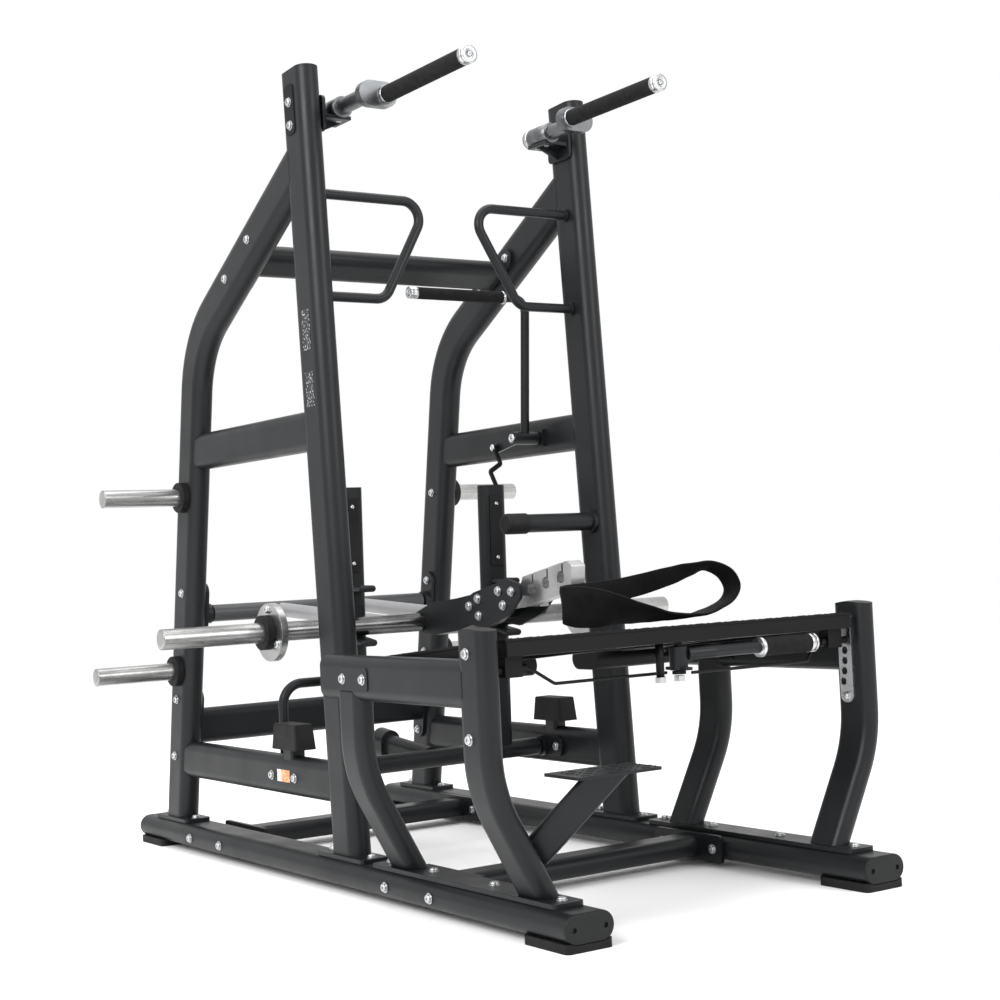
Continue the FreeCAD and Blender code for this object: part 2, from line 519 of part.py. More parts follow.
# ---- lockout frame: shaft, counter arm and two posts with hooks ------------------------------
sy, sz = SHAFT
shaft = fuse([cyl((-350, sy, sz), (1, 0, 0), 24, 700), cyl((-381, sy, sz), (1, 0, 0), 15, 762)])
shaft = shaft.cut(cyl((-325, sy, sz), (1, 0, 0), 19, 650))
arm = path_tube([(10, sy + 10, sz), (10, 430, 272)], 0, (0, -0.1, 1), 60, 40)
weight = path_tube([(10, 400, 269), (10, 452, 275)], 0, (0, -0.1, 1), 84, 60)
arm = arm.cut(cyl((-350, sy, sz), (1, 0, 0), 24, 700))
arm = sorted(arm.Solids, key=lambda k: -k.Volume)[0]
nodes["lockout_shaft"] = fuse([shaft, arm, weight])
lean = unit(V(0, POST_TOP[0] - sy, POST_TOP[1] - sz))
ahead = V(0, -lean.z, lean.y)
lockout_pads = []
pad_bolts = []
for side, s in (("left", -1), ("right", 1)):
    base = V(s * POST_X, sy, sz)
    height = POST_TOP[1] - sz
    post, outer = tube([tuple(base), tuple(base + lean * height)], 0, (1, 0, 0), 80, 40)
    post = post.cut(cyl((-350, sy, sz), (1, 0, 0), 24, 700))
    parts = [sorted(post.Solids, key=lambda k: -k.Volume)[0]]
    lid = path_tube([tuple(base + lean * (height - 6)), tuple(base + lean * height)], 0, (1, 0, 0), 80, 40)
    parts.append(lid)
    for z_hook, slope in ((711.0, 0.0), (583.5, 8.0)):
        foot = base + lean * (z_hook - sz)
        out = FreeCAD.Rotation(V(1, 0, 0), slope).multVec(ahead)
        hook = Part.Face(face_at(foot + ahead * 10, out, V(1, 0, 0), 50, 17)).extrude(out * 84)
        tip = hook.makeFillet(6.0, [e for e in hook.Edges if (e.CenterOfMass - foot).dot(ahead) > 90])
        back = Part.Face(face_at(foot + ahead * 22 - lean * 45, lean, V(1, 0, 0), 46, 6)).extrude(lean * 45)
        parts.append(tip.cut(outer))
        parts.append(back)
    whole = fuse(parts)
    if side == "right":
        mouth = Part.makeBox(18, 30, 30, V(235, POST_TOP[0] - 15, POST_TOP[1] - 12))
        whole = whole.cut(mouth)
    nodes["lockout_post_" + side] = whole
    strip = base + lean * 505 + ahead * 20
    pad = Part.Face(face_at(strip, lean, V(1, 0, 0), 40, 5)).extrude(lean * 190)
    pad.translate(ahead * 2.5)
    lockout_pads.append(pad)
nodes["lockout_pads"] = Part.makeCompound(lockout_pads)

# ---- hand release lever and its link ---------------------------------------------------------
ry, rz = RELEASE
ly, lz = LINK_PIN
boss = span(382, 374, ry - 24, ry + 24, rz - 24, rz + 24).cut(outers["mid_right"])
stub = fuse([boss, cyl((380, ry, rz), (-1, 0, 0), 10, 96)])
nodes["mid_side_tube_right"] = fuse([nodes["mid_side_tube_right"], stub])
barrel = cyl((372, ry, rz), (-1, 0, 0), 18, 84).cut(cyl((373, ry, rz), (-1, 0, 0), 10.05, 90))
upright = path_tube([(330, ry - 2, rz + 12), (330, 107, 1480), (-20, 107, 1480)], 40, (0, 1, 0), 24, 24)
arm = Part.Face(face_at(V(300, (ry + ly) / 2, (rz + lz) / 2), V(1, 0, 0), V(0, ly - ry, lz - rz), 128, 28))
arm = arm.extrude(V(8, 0, 0)).cut(cyl((373, ry, rz), (-1, 0, 0), 17, 90))
arm = arm.cut(cyl((290, ly, lz), (1, 0, 0), 5.05, 30))
screw = cyl((250, 107, 1480), (1, 0, 0), 17, 8)
end = cyl((-20, 107, 1480), (-1, 0, 0), 15.5, 24)
lever = fuse([barrel, upright.cut(cyl((374, ry, rz), (-1, 0, 0), 17, 88)), arm, screw, end])
nodes["release_lever"] = lever
nodes["release_grip"] = cyl((250, 107, 1480), (-1, 0, 0), 16, 268).cut(cyl((251, 107, 1480), (-1, 0, 0), 12, 272))
low_y, low_z = POST_TOP[0], POST_TOP[1] - 4.0
link = path_tube([(290, ly, lz), (290, ly - 0.42 * (ly - low_y), lz - 0.42 * (lz - low_z)),
                  (244, ly - 0.62 * (ly - low_y), lz - 0.62 * (lz - low_z)), (244, low_y, low_z)],
                 14, (1, 0, 0), 14, 6)
eye = cyl((288, ly, lz), (1, 0, 0), 11, 10)
pin = cyl((286, ly, lz), (1, 0, 0), 5, 26)
nodes["release_link"] = fuse([link, eye, pin, cyl((284, ly, lz), (1, 0, 0), 9, 4)])

# ---- tilting platform ------------------------------------------------------------------------
def tilted(shape):
    moved = shape.copy()
    moved.rotate(V(0, HINGE[0], HINGE[1]), V(1, 0, 0), -TILT)
    return moved


low, high = DECK_Z - 36, DECK_Z - 6
beams = []
for g in (0.0, 2.5):
    rows = [box(-479 + g, 479 - g, -913 + g, -873 - g, low + g, high - g),
            box(-129 - g, 129 + g, -680 + g, -640 - g, low + g, high - g)]
    for s in (-1, 1):
        rows.append(span(s * (439 + g), s * (479 - g), -873 - 2 * g, -500 - g, low + g, high - g))
        rows.append(span(s * (128 + g), s * (158 - g), -873 - 2 * g, -500 - g, low + g, high - g))
        rows.append(span(s * (158 - 2 * g), s * (439 + 2 * g), -540 + g, -500 - g, low + g, high - g))
    beams.append(fuse(rows))
frame = [beams[0].cut(beams[1])]
for s in (-1, 1):
    frame.append(span(s * 300 - 10, s * 300 + 10, -538, HINGE[0] + 11, HINGE[1] - 11, low + 1))
frame = fuse(frame)
frame = tilted(frame)
for s in (-1, 1):
    frame = frame.cut(cyl((s * 300 - 30, HINGE[0], HINGE[1]), (1, 0, 0), 6.05, 60))
pin_y = HINGE[0] - math.sqrt(LOCK_R ** 2 - (LOCK_Z - HINGE[1]) ** 2)
guides = []
for s in (-1, 1):
    guide = span(s * 428, s * 470, pin_y - 15, pin_y + 15, LOCK_Z - 15, 582)
    guide = guide.cut(cyl((s * 420, pin_y, LOCK_Z), (s, 0, 0), 8.1, 60))
    guides.append(guide)
post = cyl((-20, -888, 504), (0, 0, 1), 8, 73)
washer = cyl((-20, -888, 502), (0, 0, 1), 15, 7)
frame = fuse([frame] + guides + [post, washer])
nodes["platform_frame"] = frame
deck = box(-482, 482, -915, -425, DECK_Z - 6, DECK_Z).cut(box(-125, 125, -640, -400, 500, 700))
nodes["platform_deck"] = tilted(deck)
hinge_pins = [cyl((s * 300 - 24, HINGE[0], HINGE[1]), (1, 0, 0), 6, 48) for s in (-1, 1)]
nodes["hinge_pins"] = Part.makeCompound(hinge_pins)

hub = cyl((-20, -888, 511), (0, 0, 1), 20, 50).cut(cyl((-20, -888, 500), (0, 0, 1), 8.1, 80))
cheek = Part.Face(face_at(V(-20, -888, 511), V(0, 0, 1), V(0, 1, 0), 78, 22)).extrude(V(0, 0, 6))
cheek = cheek.cut(cyl((-20, -888, 500), (0, 0, 1), 12, 60))
shank = path_tube([(-4, -900, 545), (60, -912, 546), (360, -912, 546)], 40, (0, 0, 1), 26, 26)
shank = shank.cut(cyl((-20, -888, 500), (0, 0, 1), 12, 80))
ring = cyl((190, -912, 546), (1, 0, 0), 22, 8)
end = cyl((336, -912, 546), (1, 0, 0), 21, 20)
handle = fuse([hub, cheek, shank, ring, end])
nodes["platform_handle"] = sorted(handle.Solids, key=lambda k: -k.Volume)[0]
nodes["platform_grip"] = cyl((198, -912, 546), (1, 0, 0), 20.5, 138).cut(cyl((197, -912, 546), (1, 0, 0), 13, 150))
for side, s, rod_y in (("left", -1, -888 + 28), ("right", 1, -888 - 28)):
    start = -20 + s * 12
    rod = path_tube([(start, rod_y, 505), (s * 330, rod_y, 505), (s * 400, pin_y, LOCK_Z), (s * 432, pin_y, LOCK_Z)],
                    16, (0, 0, 1), 7, 7)
    pin = cyl((s * 424, pin_y, LOCK_Z), (s, 0, 0), 8, 68.5)
    stop = cyl((s * 412, pin_y, LOCK_Z), (s, 0, 0), 11, 14)
    nodes["lock_pin_" + side] = fuse([rod, pin, stop])

for pair in ("leg_front", "leg_rear", "platform_rail", "d_handle"):
    nodes[pair + "s"] = Part.makeCompound([nodes.pop(pair + "_left"), nodes.pop(pair + "_right")])
nodes["tube_end_caps"] = Part.makeCompound(caps)
nodes["frame_bolts"] = Part.makeCompound(bolts)

# ---- drill the bolt holes ----------------------------------------------------------------------
def drill(shape, cutters):
    near = [c for c in cutters if c.BoundBox.intersect(shape.BoundBox)]
    if not near:
        return shape
    return shape.cut(Part.makeCompound(near))


SKIP = {"tube_end_caps", "frame_bolts", "lever_bolts", "foot_pads", "storage_horns", "horn_collars", "belt"}
LEVER = {"weight_horns", "lever_cross_tube", "belt_arm", "belt_arm_plates", "belt_rack"}
for name in list(nodes):
    if name in SKIP:
        continue
    nodes[name] = drill(nodes[name], lever_holes if name in LEVER else frame_holes)

for name, shape in nodes.items():
    if shape.ShapeType == "Compound" and len(shape.Solids) == 1:
        shape = shape.Solids[0]
    bb = shape.BoundBox
    print("%-24s solids %3d valid %s vol %8.1f cm3  x %6.0f %6.0f  y %6.0f %6.0f  z %6.0f %6.0f" % (
        name, len(shape.Solids), shape.isValid(), shape.Volume / 1000.0,
        bb.XMin, bb.XMax, bb.YMin, bb.YMax, bb.ZMin, bb.ZMax))
    shape.exportStep("parts/" + name + ".step")
print(len(nodes), "nodes")
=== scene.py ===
import bpy
import math
from mathutils import Matrix, Vector, noise


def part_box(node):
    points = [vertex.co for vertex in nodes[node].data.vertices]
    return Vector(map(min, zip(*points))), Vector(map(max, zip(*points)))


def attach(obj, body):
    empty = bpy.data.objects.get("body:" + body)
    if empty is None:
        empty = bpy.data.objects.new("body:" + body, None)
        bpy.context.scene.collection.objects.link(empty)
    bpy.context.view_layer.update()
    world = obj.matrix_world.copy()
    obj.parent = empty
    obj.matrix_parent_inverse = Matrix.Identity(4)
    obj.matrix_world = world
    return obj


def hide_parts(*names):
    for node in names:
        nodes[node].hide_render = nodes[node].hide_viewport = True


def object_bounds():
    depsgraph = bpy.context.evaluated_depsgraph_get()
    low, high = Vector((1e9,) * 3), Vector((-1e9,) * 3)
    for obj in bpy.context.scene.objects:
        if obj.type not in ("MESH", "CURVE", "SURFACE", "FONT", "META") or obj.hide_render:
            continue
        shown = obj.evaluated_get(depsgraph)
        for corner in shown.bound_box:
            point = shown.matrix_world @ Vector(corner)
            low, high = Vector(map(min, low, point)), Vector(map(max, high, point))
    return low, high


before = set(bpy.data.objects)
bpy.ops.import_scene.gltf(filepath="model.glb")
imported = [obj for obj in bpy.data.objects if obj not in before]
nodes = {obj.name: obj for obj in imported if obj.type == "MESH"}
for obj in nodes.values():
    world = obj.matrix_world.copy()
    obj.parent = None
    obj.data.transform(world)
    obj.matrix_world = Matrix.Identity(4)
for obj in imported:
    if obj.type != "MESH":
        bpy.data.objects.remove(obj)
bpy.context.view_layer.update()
scene = bpy.context.scene


# ---- material helpers ------------------------------------------------------------------------
class Mat:
    """A node material with short helpers; every colour is linear RGB."""

    def __init__(self, name, rough, metallic=0.0, spec=0.5):
        self.m = bpy.data.materials.new(name)
        self.m.use_nodes = True
        self.t = self.m.node_tree
        self.b = self.t.nodes["Principled BSDF"]
        self.b.inputs["Metallic"].default_value = metallic
        self.b.inputs["Roughness"].default_value = rough
        self.b.inputs["Specular IOR Level"].default_value = spec
        self.coord = self.t.nodes.new("ShaderNodeTexCoord").outputs["Object"]
        self.normal = None

    def new(self, kind, **values):
        n = self.t.nodes.new(kind)
        for key, value in values.items():
            if hasattr(n, key):
                setattr(n, key, value)
        return n

    def link(self, a, b):
        self.t.links.new(a, b)

    def noise(self, scale, detail=3.0, stretch=(1, 1, 1), roughness=0.5):
        at = self.new("ShaderNodeMapping")
        at.inputs["Scale"].default_value = stretch
        self.link(self.coord, at.inputs["Vector"])
        n = self.new("ShaderNodeTexNoise")
        n.inputs["Scale"].default_value = scale
        n.inputs["Detail"].default_value = detail
        n.inputs["Roughness"].default_value = roughness
        self.link(at.outputs["Vector"], n.inputs["Vector"])
        return n.outputs["Fac"]

    def ramp(self, fac, lo, hi, a, b):
        n = self.new("ShaderNodeMapRange")
        n.inputs["From Min"].default_value = lo
        n.inputs["From Max"].default_value = hi
        n.inputs["To Min"].default_value = a
        n.inputs["To Max"].default_value = b
        self.link(fac, n.inputs["Value"])
        return n.outputs["Result"]

    def mix(self, fac, a, b):
        n = self.new("ShaderNodeMix", data_type="RGBA")
        self.link(fac, n.inputs[0])
        n.inputs[6].default_value = (*a, 1)
        n.inputs[7].default_value = (*b, 1)
        self.link(n.outputs[2], self.b.inputs["Base Color"])
        return n

    def rough(self, fac, lo, hi, a, b):
        self.link(self.ramp(fac, lo, hi, a, b), self.b.inputs["Roughness"])

    def bump(self, height, strength, distance):
        n = self.new("ShaderNodeBump")
        n.inputs["Strength"].default_value = strength
        n.inputs["Distance"].default_value = distance
        self.link(height, n.inputs["Height"])
        if self.normal is not None:
            self.link(self.normal, n.inputs["Normal"])
        self.normal = n.outputs["Normal"]
        self.link(self.normal, self.b.inputs["Normal"])

    def soft_edges(self, radius):
        n = self.new("ShaderNodeBevel", samples=4)
        n.inputs["Radius"].default_value = radius
        self.normal = n.outputs["Normal"]
        self.link(self.normal, self.b.inputs["Normal"])


def powder(name, dark, light, rough, spec=0.5):
    """Powder coat: slight mottling, uneven sheen and a fine orange peel."""
    m = Mat(name, rough, 0.0, spec)
    m.soft_edges(0.0016)
    m.mix(m.ramp(m.noise(3.0, 4), 0.35, 0.65, 0, 1), dark, light)
    m.rough(m.noise(9.0, 5), 0.3, 0.7, rough - 0.05, rough + 0.06)
    m.bump(m.noise(420.0, 2), 0.12, 0.0006)
    m.bump(m.noise(1600.0, 1), 0.10, 0.0003)
    return m.m


def metal(name, dark, light, rough, stretch=(1, 1, 1), grain=600.0):
    """Bare or plated metal with a fine drawn grain and faint smudges."""
    m = Mat(name, rough, 1.0)
    m.soft_edges(0.0010)
    m.mix(m.ramp(m.noise(14.0, 5), 0.35, 0.68, 0, 1), dark, light)
    m.rough(m.noise(grain, 3, stretch), 0.3, 0.7, rough - 0.06, rough + 0.10)
    m.bump(m.noise(grain, 2, stretch), 0.10, 0.0003)
    return m.m


def rubber(name, dark, light, rough, grain, strength):
    m = Mat(name, rough, 0.0, 0.2)
    m.soft_edges(0.0012)
    m.mix(m.ramp(m.noise(11.0, 4), 0.35, 0.65, 0, 1), dark, light)
    m.rough(m.noise(30.0, 4), 0.3, 0.7, rough - 0.06, rough + 0.06)
    m.bump(m.noise(grain, 3), strength, 0.0007)
    return m.m


def foam(name):
    """Closed-cell foam: open pits and a dusty surface."""
    m = Mat(name, 0.88, 0.0, 0.15)
    m.mix(m.ramp(m.noise(60.0, 5), 0.3, 0.7, 0, 1), (0.007, 0.007, 0.0075), (0.012, 0.012, 0.0125))
    cell = m.new("ShaderNodeTexVoronoi")
    cell.inputs["Scale"].default_value = 520.0
    m.link(m.coord, cell.inputs["Vector"])
    m.bump(cell.outputs["Distance"], 0.25, 0.0006)
    return m.m


PAINT = powder("powder_charcoal", (0.0060, 0.0068, 0.0078), (0.0090, 0.0100, 0.0112), 0.37, 0.24)
BLACK = powder("powder_black", (0.003, 0.003, 0.0032), (0.0045, 0.0045, 0.0048), 0.45, 0.16)
SILVER = powder("powder_silver", (0.20, 0.20, 0.205), (0.27, 0.27, 0.275), 0.36)
HOUSING = metal("plated_grey", (0.13, 0.135, 0.14), (0.19, 0.195, 0.20), 0.34)
CHROME = metal("chrome_sleeve", (0.36, 0.36, 0.355), (0.46, 0.46, 0.455), 0.30, (0.04, 1, 1), 900.0)
ZINC = metal("zinc_plate", (0.50, 0.51, 0.52), (0.57, 0.58, 0.59), 0.25, (1, 1, 1), 900.0)
STEEL = metal("dark_chrome", (0.12, 0.12, 0.122), (0.20, 0.20, 0.20), 0.22, (0.04, 1, 1), 700.0)
GREY = powder("powder_mid_grey", (0.040, 0.042, 0.045), (0.060, 0.062, 0.065), 0.34, 0.35)
CAST = metal("cast_rack", (0.42, 0.42, 0.42), (0.62, 0.62, 0.62), 0.34, (1, 1, 1), 160.0)
RUBBER = rubber("rubber_black", (0.004, 0.004, 0.004), (0.009, 0.009, 0.009), 0.60, 380.0, 0.25)
PLASTIC = rubber("moulded_plastic", (0.008, 0.0085, 0.009), (0.012, 0.0125, 0.013), 0.45, 900.0, 0.15)
FOAM = foam("foam_sleeve")

FINISH = {
    "lever_bolts": ZINC, "frame_bolts": ZINC, "selector_plates": ZINC, "hinge_pins": ZINC,
    "weight_horns": CHROME, "storage_horns": CHROME, "lever_cross_tube": STEEL, "lever_axle": GREY,
    "lever_arms": SILVER, "belt_rack": CAST, "belt_arm": PAINT, "belt_arm_plates": PAINT,
    "foot_pads": RUBBER, "bump_stops": RUBBER, "horn_collars": RUBBER, "lever_collars": RUBBER,
    "lockout_pads": RUBBER, "tube_end_caps": PLASTIC, "swing_grip_left": FOAM, "swing_grip_right": FOAM,
    "release_grip": FOAM, "platform_grip": FOAM, "lock_pin_left": BLACK, "lock_pin_right": BLACK,
    "platform_deck": BLACK, "platform_frame": BLACK, "platform_cross_stubs": BLACK, "belt": RUBBER,
    "swing_handle_left": HOUSING, "swing_handle_right": HOUSING, "release_link": BLACK,
}
for name, obj in nodes.items():
    obj.data.materials.clear()
    obj.data.materials.append(FINISH.get(name, PAINT))


# ---- mesh helpers --------------------------------------------------------------------------------
def mesh(name, verts, faces, material, body, smooth=False):
    data = bpy.data.meshes.new(name)
    data.from_pydata([tuple(v) for v in verts], [], faces)
    data.update()
    for poly in data.polygons:
        poly.use_smooth = smooth
    obj = bpy.data.objects.new(name, data)
    scene.collection.objects.link(obj)
    data.materials.append(material)
    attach(obj, body)
    return obj


def lathe(profile, origin, axis, n=48):
    """Verts and faces of a turned piece; profile rows are (along the axis, radius)."""
    axis = Vector(axis).normalized()
    side = axis.orthogonal().normalized()
    other = axis.cross(side)
    verts = []
    faces = []
    for a, r in profile:
        for k in range(n):
            t = 2 * math.pi * k / n
            verts.append(Vector(origin) + axis * a + (side * math.cos(t) + other * math.sin(t)) * r)
    for i in range(len(profile) - 1):
        for k in range(n):
            a = i * n
            b = a + n
            faces.append((a + k, a + (k + 1) % n, b + (k + 1) % n, b + k))
    faces.append(tuple(reversed(range(n))))
    faces.append(tuple(range((len(profile) - 1) * n, len(profile) * n)))
    return verts, faces


# ---- raised tread on the deck and on the step ------------------------------------------------
STUD_PITCH = 0.0252
STUD_FOOT = (0.011, 0.0034)      # half length and half width where a stud meets the plate
STUD_TOP = (0.0078, 0.0016)
STUD_SUNK = 0.0002
STUD_HEIGHT = 0.0014
COMPASS = ((1, 0), (0, 1), (-1, 0), (0, -1))


def tread(name, body, material, corner, u, v, nu, nv, skip=None):
    """Lozenge studs in alternating directions on a plane given by a corner and two unit vectors."""
    up = u.cross(v).normalized()
    verts = []
    faces = []
    for i in range(nu):
        for j in range(nv):
            c = corner + u * (STUD_PITCH * (i + 0.5)) + v * (STUD_PITCH * (j + 0.5))
            if skip and skip(c):
                continue
            turn = math.radians(45 if (i + j) % 2 else -45)
            a = u * math.cos(turn) + v * math.sin(turn)
            b = v * math.cos(turn) - u * math.sin(turn)
            k = len(verts)
            for s, t in COMPASS:
                verts.append(c + a * (STUD_FOOT[0] * s) + b * (STUD_FOOT[1] * t) - up * STUD_SUNK)
            for s, t in COMPASS:
                verts.append(c + a * (STUD_TOP[0] * s) + b * (STUD_TOP[1] * t) + up * STUD_HEIGHT)
            faces.append((k + 4, k + 5, k + 6, k + 7))
            for q in range(4):
                w = (q + 1) % 4
                faces.append((k + q, k + w, k + 4 + w, k + 4 + q))
    return mesh(name, verts, faces, material, body)


lo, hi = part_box("platform_deck")
tilt = math.radians(5.1)     # the deck slopes down to the rear
across = Vector((1, 0, 0))
along = Vector((0, math.cos(tilt), -math.sin(tilt)))
corner = Vector((lo[0] + 0.006, lo[1] + 0.006, hi[2] - 0.0006))
SLOT_X = 0.128               # half width and front end of the deck's slot
SLOT_Y = -0.640
SLOT_MARGIN = 0.012
tread("deck_tread", "platform", BLACK, corner, across, along, 38, 19,
      lambda c: abs(c.x) < SLOT_X + SLOT_MARGIN and c.y > SLOT_Y - SLOT_MARGIN)
lo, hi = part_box("step")
corner = Vector((lo[0] + 0.034, lo[1] + 0.004, hi[2]))
tread("step_tread", "frame", PAINT, corner, across, Vector((0, 1, 0)), 8, 4)


# ---- chrome end rings on the grips ------------------------------------------------------------
def ring(name, body, node, axis, end, out, r, thick, cap=False):
    """A bright turned ring, or a stepped end cap with a centre screw, at one end of a grip."""
    lo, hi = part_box(node)
    c = [(lo[i] + hi[i]) / 2 for i in range(3)]
    i = [abs(a) for a in axis].index(1)
    c[i] = hi[i] if end > 0 else lo[i]
    d = [0, 0, 0]
    d[i] = end
    e = 0.0012
    profile = [(out, r - e), (out + e, r), (out + thick - e, r), (out + thick, r - e * 1.6)]
    if cap:
        profile = [(out, r - e), (out + e, r), (out + 0.6 * thick, r), (out + 0.64 * thick, r - 0.0016),
                   (out + 0.68 * thick, r), (out + thick - 2 * e, r), (out + thick, r - 2 * e),
                   (out + thick, 0.0075), (out + thick - 0.0012, 0.0072),
                   (out + thick - 0.0012, 0.0058), (out + thick + 0.0004, 0.0052),
                   (out + thick + 0.0004, 0.0026), (out + thick - 0.001, 0.0022)]
    v, f = lathe(profile, c, d)
    return mesh(name, v, f, ZINC, body, True)


SIDES = (("left", -1), ("right", 1))
HANDLE_X = 0.318             # axis of the top handles
HANDLE_Z = 1.900

for side in ("left", "right"):
    body = "swing_" + side
    grip = "swing_grip_" + side
    ring("grip_end_" + side, body, grip, (0, 1, 0), -1, 0.0004, 0.0216, 0.0228, True)
    ring("grip_ring_" + side, body, grip, (0, 1, 0), 1, 0.0004, 0.0225, 0.0112)
ring("release_end", "release", "release_grip", (1, 0, 0), -1, 0.0021, 0.0164, 0.0248, True)
ring("release_ring", "release", "release_grip", (1, 0, 0), 1, 0.0002, 0.0176, 0.0086)
ring("platform_end", "platform_handle", "platform_grip", (1, 0, 0), 1, 0.0002, 0.0216, 0.0206, True)
ring("platform_ring", "platform_handle", "platform_grip", (1, 0, 0), -1, 0.0002, 0.0226, 0.0086)

for side, s in SIDES:
    lo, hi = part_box("swing_handle_" + side)
    v, f = lathe([(0, 0.0255), (0.0005, 0.0268), (0.0815, 0.0268), (0.082, 0.0255)],
                 (s * HANDLE_X, -0.071, HANDLE_Z), (0, 1, 0))
    mesh("housing_sleeve_" + side, v, f, HOUSING, "frame", True)
    v, f = lathe([(0, 0.0245), (0.001, 0.0258), (0.012, 0.0258), (0.013, 0.024), (0.0145, 0.024),
                  (0.0175, 0.021), (0.0175, 0.008), (0.0165, 0.0075), (0.0165, 0.006), (0.0182, 0.0055)],
                 (s * HANDLE_X, hi[1] - 0.0165, HANDLE_Z), (0, 1, 0))
    mesh("housing_cap_" + side, v, f, ZINC, "swing_" + side, True)


def horn_plug(name, x, y, z, s, r, body):
    """The closed, slightly domed end of a weight sleeve."""
    v, f = lathe([(-0.004, r - 0.0045), (-0.0002, r - 0.0045), (0, r - 0.002), (0.0012, r - 0.0035),
                  (0.0018, r - 0.010), (0.0020, 0.001)], (x, y, z), (s, 0, 0))
    return mesh(name, v, f, CHROME, body, True)


BAR_Y = 0.118                # axis of the lever's weight horns
BAR_Z = 0.614
UPRIGHT_FACE_X = 0.437       # outer face of the uprights
UPRIGHT_WIDTH = 0.060        # an upright's width across the machine
REAR_SLOPE = 0.235 / 1.316   # how far a rear upright leans forward for each metre of height
lo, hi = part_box("weight_horns")
for s, x in ((-1, lo[0]), (1, hi[0])):
    horn_plug("horn_plug_%d" % s, x, BAR_Y, BAR_Z, s, 0.0246, "lever")
lo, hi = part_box("storage_horns")
for s in (-1, 1):
    for z, length in ((0.981, 0.236), (0.498, 0.240)):
        y = 0.870 - (z - 0.085) * REAR_SLOPE
        x = s * (UPRIGHT_FACE_X + length)
        horn_plug("store_plug_%d_%d" % (s, int(z * 1000)), x, y, z, s, 0.0240, "frame")


def screw(name, at, out, r, body, h=0.004):
    """A small button head with a recess."""
    profile = [(0, r), (h * 0.45, r), (h * 0.85, r * 0.75), (h, r * 0.5), (h, r * 0.36),
               (h * 0.5, r * 0.32)]
    v, f = lathe(profile, at, out, 24)
    return mesh(name, v, f, ZINC, body, True)


def rounded_plate(name, x, s, thick, centre, up, w, h, r, material, body):
    """A flat plate with round corners on a side face, thick away from the machine."""
    rear = Vector((0, -up[2], up[1]))
    rim = []
    for cx, cz, a0 in ((1, 1, 0), (-1, 1, 90), (-1, -1, 180), (1, -1, 270)):
        for k in range(7):
            a = math.radians(a0 + 15 * k)
            rim.append((cx * (w / 2 - r) + r * math.cos(a), cz * (h / 2 - r) + r * math.sin(a)))
    n = len(rim)
    verts = [Vector((x + s * d, 0, 0)) + Vector(centre) + rear * p + Vector(up) * q
             for d in (0, thick) for p, q in rim]
    faces = [tuple(range(n)), tuple(reversed(range(n, 2 * n)))]
    faces += [(k, (k + 1) % n, n + (k + 1) % n, n + k) for k in range(n)]
    return mesh(name, verts, faces, material, body)


for s, x in ((-1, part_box("platform_rails")[0][0]), (1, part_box("platform_rails")[1][0])):
    rounded_plate("rail_plate_%d" % s, x, s, 0.0024, (0, -0.409, 0.518), (0, 0, 1), 0.130, 0.052, 0.010,
                  PAINT, "frame")
# The crossbar ends on the inner faces of the uprights, so their outer faces are one tube width out.
LEAN = 0.048                 # run of the front uprights for each metre of height
lean = Vector((0, LEAN, 1)).normalized()
for side, s in SIDES:
    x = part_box("upper_crossbar")[0 if s < 0 else 1][0] + s * UPRIGHT_WIDTH
    centre = (0, -0.017, 1.892)
    rounded_plate("outer_plate_" + side, x, s, 0.0024, centre, lean, 0.046, 0.125, 0.014, BLACK, "frame")
for side, s in SIDES:
    for k, y in enumerate((-0.046, -0.004)):
        screw("saddle_screw_%s_%d" % (side, k), (s * HANDLE_X, y, 1.8735), (0, 0, -1), 0.0085, "frame", 0.006)
lo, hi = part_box("lockout_pads")
for side, s in SIDES:
    for k, z in enumerate((lo[2] + 0.022, hi[2] - 0.022)):
        y = lo[1] + (hi[1] - lo[1] - 0.005) * (hi[2] - z) / (hi[2] - lo[2])
        screw("pad_screw_%s_%d" % (side, k), (s * 0.224, y, z), (0, -1, 0.028), 0.0055, "lockout")
lo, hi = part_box("release_link")
screw("link_screw", (lo[0] + 0.0495, 0.235, 1.080), (-1, 0, 0), 0.0095, "link", 0.006)
lo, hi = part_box("release_lever")
screw("lever_screw", (0.288, 0.140, 1.098), (-1, 0, 0), 0.013, "release", 0.007)
lo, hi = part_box("platform_handle")
for k, x in enumerate((-0.072, -0.020)):
    v, f = lathe([(0, 0.0125), (0.012, 0.0125)], (x, -0.888, 0.487), (0, 0, 1), 6)
    mesh("post_nut_%d" % k, v, f, ZINC, "platform")
v, f = lathe([(0, 0.009), (0.076, 0.009)], (-0.072, -0.888, 0.4985), (0, 0, 1), 32)
mesh("second_post", v, f, BLACK, "platform", True)


# ---- lifting belt --------------------------------------------------------------------------------
def belt_material():
    """Black webbing over neoprene: a fine weave, stitched lines and lint."""
    m = Mat("belt_webbing", 0.9, 0.0, 0.1)
    m.b.inputs["Sheen Weight"].default_value = 0.03
    m.b.inputs["Sheen Roughness"].default_value = 0.6
    m.mix(m.ramp(m.noise(24.0, 5), 0.35, 0.65, 0, 1), (0.0022, 0.0022, 0.0023), (0.0055, 0.0055, 0.0057))
    wave = m.new("ShaderNodeTexWave", wave_type="BANDS", bands_direction="X")
    wave.inputs["Scale"].default_value = 220.0
    wave.inputs["Distortion"].default_value = 1.5
    m.link(m.coord, wave.inputs["Vector"])
    m.bump(wave.outputs["Fac"], 0.12, 0.0005)
    m.bump(m.noise(35.0, 4), 0.35, 0.003)
    return m.m


BELT = belt_material()
lo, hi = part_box("belt")
size = [hi[i] - lo[i] for i in range(3)]
